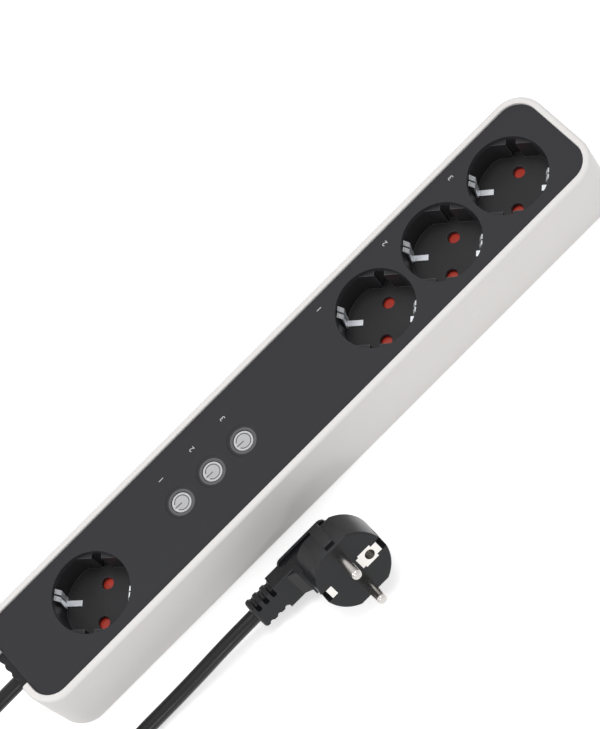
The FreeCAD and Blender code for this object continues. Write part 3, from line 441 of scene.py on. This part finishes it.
def finish(name):
    # one Principled shader fed by a shared effect; constant values sit on the shader itself
    values = finishes[name]
    material = bpy.data.materials.new("finish_" + name)
    material.use_nodes = True
    tree = material.node_tree
    shader = tree.nodes["Principled BSDF"]
    effect = tree.nodes.new("ShaderNodeGroup")
    metal = "line" in values
    effect.node_tree = brushGroup if metal else grainGroup
    effect.inputs["Colour"].default_value = tone(*values["colour"])
    effect.inputs["Roughness"].default_value = values["rough"]
    if metal:
        effect.inputs["Line Size"].default_value = values["line"]
        effect.inputs["Tarnish"].default_value = values["tarnish"]
        effect.inputs["Direction"].default_value = values["along"]
        shader.inputs["Metallic"].default_value = values.get("metal", 1.0)
    else:
        effect.inputs["Grain Size"].default_value = values["grain"]
        effect.inputs["Patch Size"].default_value = values["patch"]
        effect.inputs["Tone Change"].default_value = values["tone"]
        effect.inputs["Rub"].default_value = values["rub"]
        effect.inputs["Painted Edge Highlight"].default_value = values.get("edge", 0.0)
        shader.inputs["Specular IOR Level"].default_value = values["specular"]
    if "glow" in values:
        shader.inputs["Emission Color"].default_value = tone(*values["colour"])
        shader.inputs["Emission Strength"].default_value = values["glow"]
    bump = tree.nodes.new("ShaderNodeBump")
    bump.inputs["Strength"].default_value = 0.6
    bump.inputs["Distance"].default_value = values["bump"] / 1000
    tree.links.new(effect.outputs["Colour"], shader.inputs["Base Color"])
    tree.links.new(effect.outputs["Roughness"], shader.inputs["Roughness"])
    tree.links.new(effect.outputs["Height"], bump.inputs["Height"])
    tree.links.new(bump.outputs["Normal"], shader.inputs["Normal"])
    return material


materials = {name: finish(name) for name in finishes}


def effectOf(tree):
    # the node that carries the finish's shared effect
    return next(node for node in tree.nodes if node.type == "GROUP")


def makeEarthLead():
    # green sheath with a yellow band that winds along it
    material = materials["lead_blue"].copy()
    material.name = "finish_lead_green"
    tree = material.node_tree
    wave = tree.nodes.new("ShaderNodeTexWave")
    wave.inputs["Scale"].default_value = 110
    wave.inputs["Distortion"].default_value = 0.5
    place = tree.nodes.new("ShaderNodeTexCoord")
    ramp = tree.nodes.new("ShaderNodeValToRGB")
    ramp.color_ramp.interpolation = "CONSTANT"
    ramp.color_ramp.elements[0].color = tone(40, 110, 48)
    ramp.color_ramp.elements[1].color = tone(206, 190, 60)
    ramp.color_ramp.elements[1].position = 0.6
    tree.links.new(place.outputs["Object"], wave.inputs["Vector"])
    tree.links.new(wave.outputs["Fac"], ramp.inputs["Fac"])
    tree.links.new(ramp.outputs["Color"], effectOf(tree).inputs["Colour"])
    return material


materials["lead_green"] = makeEarthLead()

# painted highlight and shade on the cap and painted reflections in the clear ring, as seen from above:
# distance in millimetres from the button's middle and tone
buttonBands = {"firstX": -0.0678, "pitch": 0.020, "widest": 7.0}
capPaintedShading = ((0.0, 190), (3.3, 192), (3.9, 206), (4.5, 210), (4.9, 176))
ringPaintedReflections = ((4.9, 58), (5.2, 80), (5.6, 112), (5.9, 80), (6.2, 118), (6.4, 84), (6.6, 40))


def makeDistanceGroup():
    # distance from the middle of whichever button is nearest, as a share of the widest
    group, given, made = newGroup("buttonDistance", (), (("Share", "NodeSocketFloat"),))
    split = group.nodes.new("ShaderNodeSeparateXYZ")
    group.links.new(group.nodes.new("ShaderNodeTexCoord").outputs["Object"], split.inputs[0])
    pitch = buttonBands["pitch"]
    shifted = mathNode(group, "SUBTRACT", split.outputs["X"], buttonBands["firstX"])
    nearest = mathNode(group, "SNAP", mathNode(group, "ADD", shifted, pitch / 2), pitch)
    offset = mathNode(group, "SUBTRACT", shifted, nearest)
    square = mathNode(group, "ADD", mathNode(group, "MULTIPLY", offset, offset),
                      mathNode(group, "MULTIPLY", split.outputs["Y"], split.outputs["Y"]))
    share = mathNode(group, "DIVIDE", mathNode(group, "SQRT", square, 0.0), buttonBands["widest"] / 1000)
    group.links.new(share, made.inputs["Share"])
    return group


distanceGroup = makeDistanceGroup()


def addBands(name, bands):
    tree = materials[name].node_tree
    effect = effectOf(tree)
    distance = tree.nodes.new("ShaderNodeGroup")
    distance.node_tree = distanceGroup
    ramp = tree.nodes.new("ShaderNodeValToRGB")
    stops = ramp.color_ramp.elements
    while len(stops) < len(bands):
        stops.new(0.5)
    for stop, (place, level) in zip(stops, bands):
        stop.position = place / buttonBands["widest"]
        stop.color = tone(level, level, level + 2)
    tree.links.new(distance.outputs["Share"], ramp.inputs["Fac"])
    tree.links.new(ramp.outputs["Color"], effect.inputs["Colour"])


# painted highlight and shade on the caps, painted reflections on the clear rings
addBands("button_grey", capPaintedShading)
addBands("clear_ring", ringPaintedReflections)

nodeFinish = {
    "housing_shell": "white_shell", "top_panel": "anthracite", "neutral_bar": "brass", "earth_bar": "brass",
    "control_board": "board", "supply_transformer": "transformer", "capacitors": "capacitor",
    "radio_module": "can_metal", "indicator_lamps": "lamp", "housing_screws": "screw_steel",
    "board_screws": "screw_steel", "clamp_screws": "screw_steel", "cord_clamp": "dark_plastic",
    "cable_gland": "gland_rubber", "cord_inner": "cord_sheath", "cord_tie": "tie_rubber",
    "lead_live": "lead_brown", "lead_neutral": "lead_blue", "lead_earth": "lead_green",
    "inner_leads": "lead_brown", "plug_body": "plug_plastic", "plug_boot": "plug_plastic",
    "plug_pin_live": "pin_nickel", "plug_pin_neutral": "pin_nickel", "plug_earth_plate": "plate_nickel",
    "plug_side_contact": "plate_nickel",
}
for number in range(4):
    nodeFinish["socket_well_%d" % number] = "well_plastic"
    nodeFinish["shutter_%d" % number] = "shutter_red"
    nodeFinish["earth_clip_%d" % number] = "clip_steel"
    nodeFinish["live_contact_%d" % number] = "brass"
for number in buttonNumbers:
    nodeFinish["button_ring_%d" % number] = "clear_ring"
    nodeFinish["button_cap_%d" % number] = "button_grey"
    nodeFinish["switch_body_%d" % number] = "dark_plastic"
    nodeFinish["switch_plunger_%d" % number] = "plunger"
    nodeFinish["relay_%d" % number] = "relay_case"
for name, look in nodeFinish.items():
    for slot in nodes[name].material_slots:
        slot.material = materials[look]
cord.data.materials.clear()
cord.data.materials.append(materials["cord_sheath"])

print("marks")
digits = {"height": 0.0027, "lift": 0.00002, "thickness": 0.00003, "capShare": 0.69,
          "besideSocket": (-0.0184, 0.0204), "besideButton": (0.0003, 0.0156)}


def addPiece(name, mesh, look, body):
    piece = bpy.data.objects.new(name, mesh)
    scene.collection.objects.link(piece)
    mesh.materials.clear()
    mesh.materials.append(materials[look])
    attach(piece, body)
    return piece


def makeDigit(name, number, place):
    curve = bpy.data.curves.new(name, "FONT")
    curve.body = str(number)
    curve.size = digits["height"] / digits["capShare"]
    curve.extrude = digits["thickness"] / 2
    curve.align_x = "CENTER"
    curve.align_y = "CENTER"
    letter = bpy.data.objects.new(name, curve)
    scene.collection.objects.link(letter)
    mesh = meshNow(letter)
    bpy.data.objects.remove(letter)
    lift = digits["lift"] + digits["thickness"] / 2
    # the figures read along +Y, with their tops towards the cord
    mesh.transform(Matrix.Translation(place + Vector((0, 0, lift))) @ Matrix.Rotation(math.pi / 2, 4, "Z"))
    piece = addPiece(name, mesh, "print_white", "base")


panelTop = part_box("top_panel")[1][2]
for number in socketNumbers:
    middleX = middle("socket_well_%d" % number).x
    dx, dy = digits["besideSocket"]
    makeDigit("socketNumber_%d" % number, number, Vector((middleX + dx, dy, panelTop)))
for number in buttonNumbers:
    middleX = middle("button_cap_%d" % number).x
    dx, dy = digits["besideButton"]
    makeDigit("buttonNumber_%d" % number, number, Vector((middleX + dx, dy, panelTop)))

power = {"radius": 0.0036, "line": 0.00048, "gap": 56, "barStart": 0.0, "barEnd": 0.0041,
         "thickness": 0.00004, "hollowRadius": 0.026, "hollowDepth": 0.00035}


def hollow(distance):
    # height of the cap's dished top over its lowest point
    return power["hollowRadius"] - math.sqrt(power["hollowRadius"] ** 2 - distance ** 2)


def makeSymbol(number):
    # open ring with a bar through the gap, printed in the cap's shallow hollow
    name = "button_cap_%d" % number
    centre = middle(name)
    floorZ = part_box(name)[1][2] - power["hollowDepth"]
    shape = bmesh.new()
    half = power["line"] / 2
    gap = math.radians(power["gap"])
    start = Matrix.Rotation(math.pi + gap / 2, 3, "Z")
    first = [shape.verts.new(start @ Vector((power["radius"] + side * half, 0, 0))) for side in (-1, 1)]
    edge = shape.edges.new(first)
    bmesh.ops.spin(shape, geom=first + [edge], cent=(0, 0, 0), axis=(0, 0, 1),
                   angle=2 * math.pi - gap, steps=40)
    steps = 8
    length = power["barEnd"] - power["barStart"]
    bar = bmesh.ops.create_grid(shape, x_segments=steps, y_segments=1, size=0.5)["verts"]
    bmesh.ops.scale(shape, verts=bar, vec=(length, power["line"], 1))
    bmesh.ops.translate(shape, verts=bar, vec=(-power["barStart"] - length / 2, 0, 0))
    faces = list(shape.faces)
    raised = bmesh.ops.extrude_face_region(shape, geom=faces)["geom"]
    top = [item for item in raised if isinstance(item, bmesh.types.BMVert)]
    bmesh.ops.translate(shape, verts=top, vec=(0, 0, power["thickness"]))
    for vert in shape.verts:
        vert.co.z += hollow(vert.co.xy.length)
    bmesh.ops.translate(shape, verts=shape.verts, vec=(centre.x, centre.y, floorZ + power["thickness"] / 4))
    bmesh.ops.recalc_face_normals(shape, faces=shape.faces)
    mesh = bpy.data.meshes.new("powerSymbol_%d" % number)
    shape.to_mesh(mesh)
    shape.free()
    piece = addPiece("powerSymbol_%d" % number, mesh, "symbol_grey", "button_%d" % number)


for number in buttonNumbers:
    makeSymbol(number)

scene.view_settings.view_transform = "Standard"
bpy.context.view_layer.update()
print("finish")
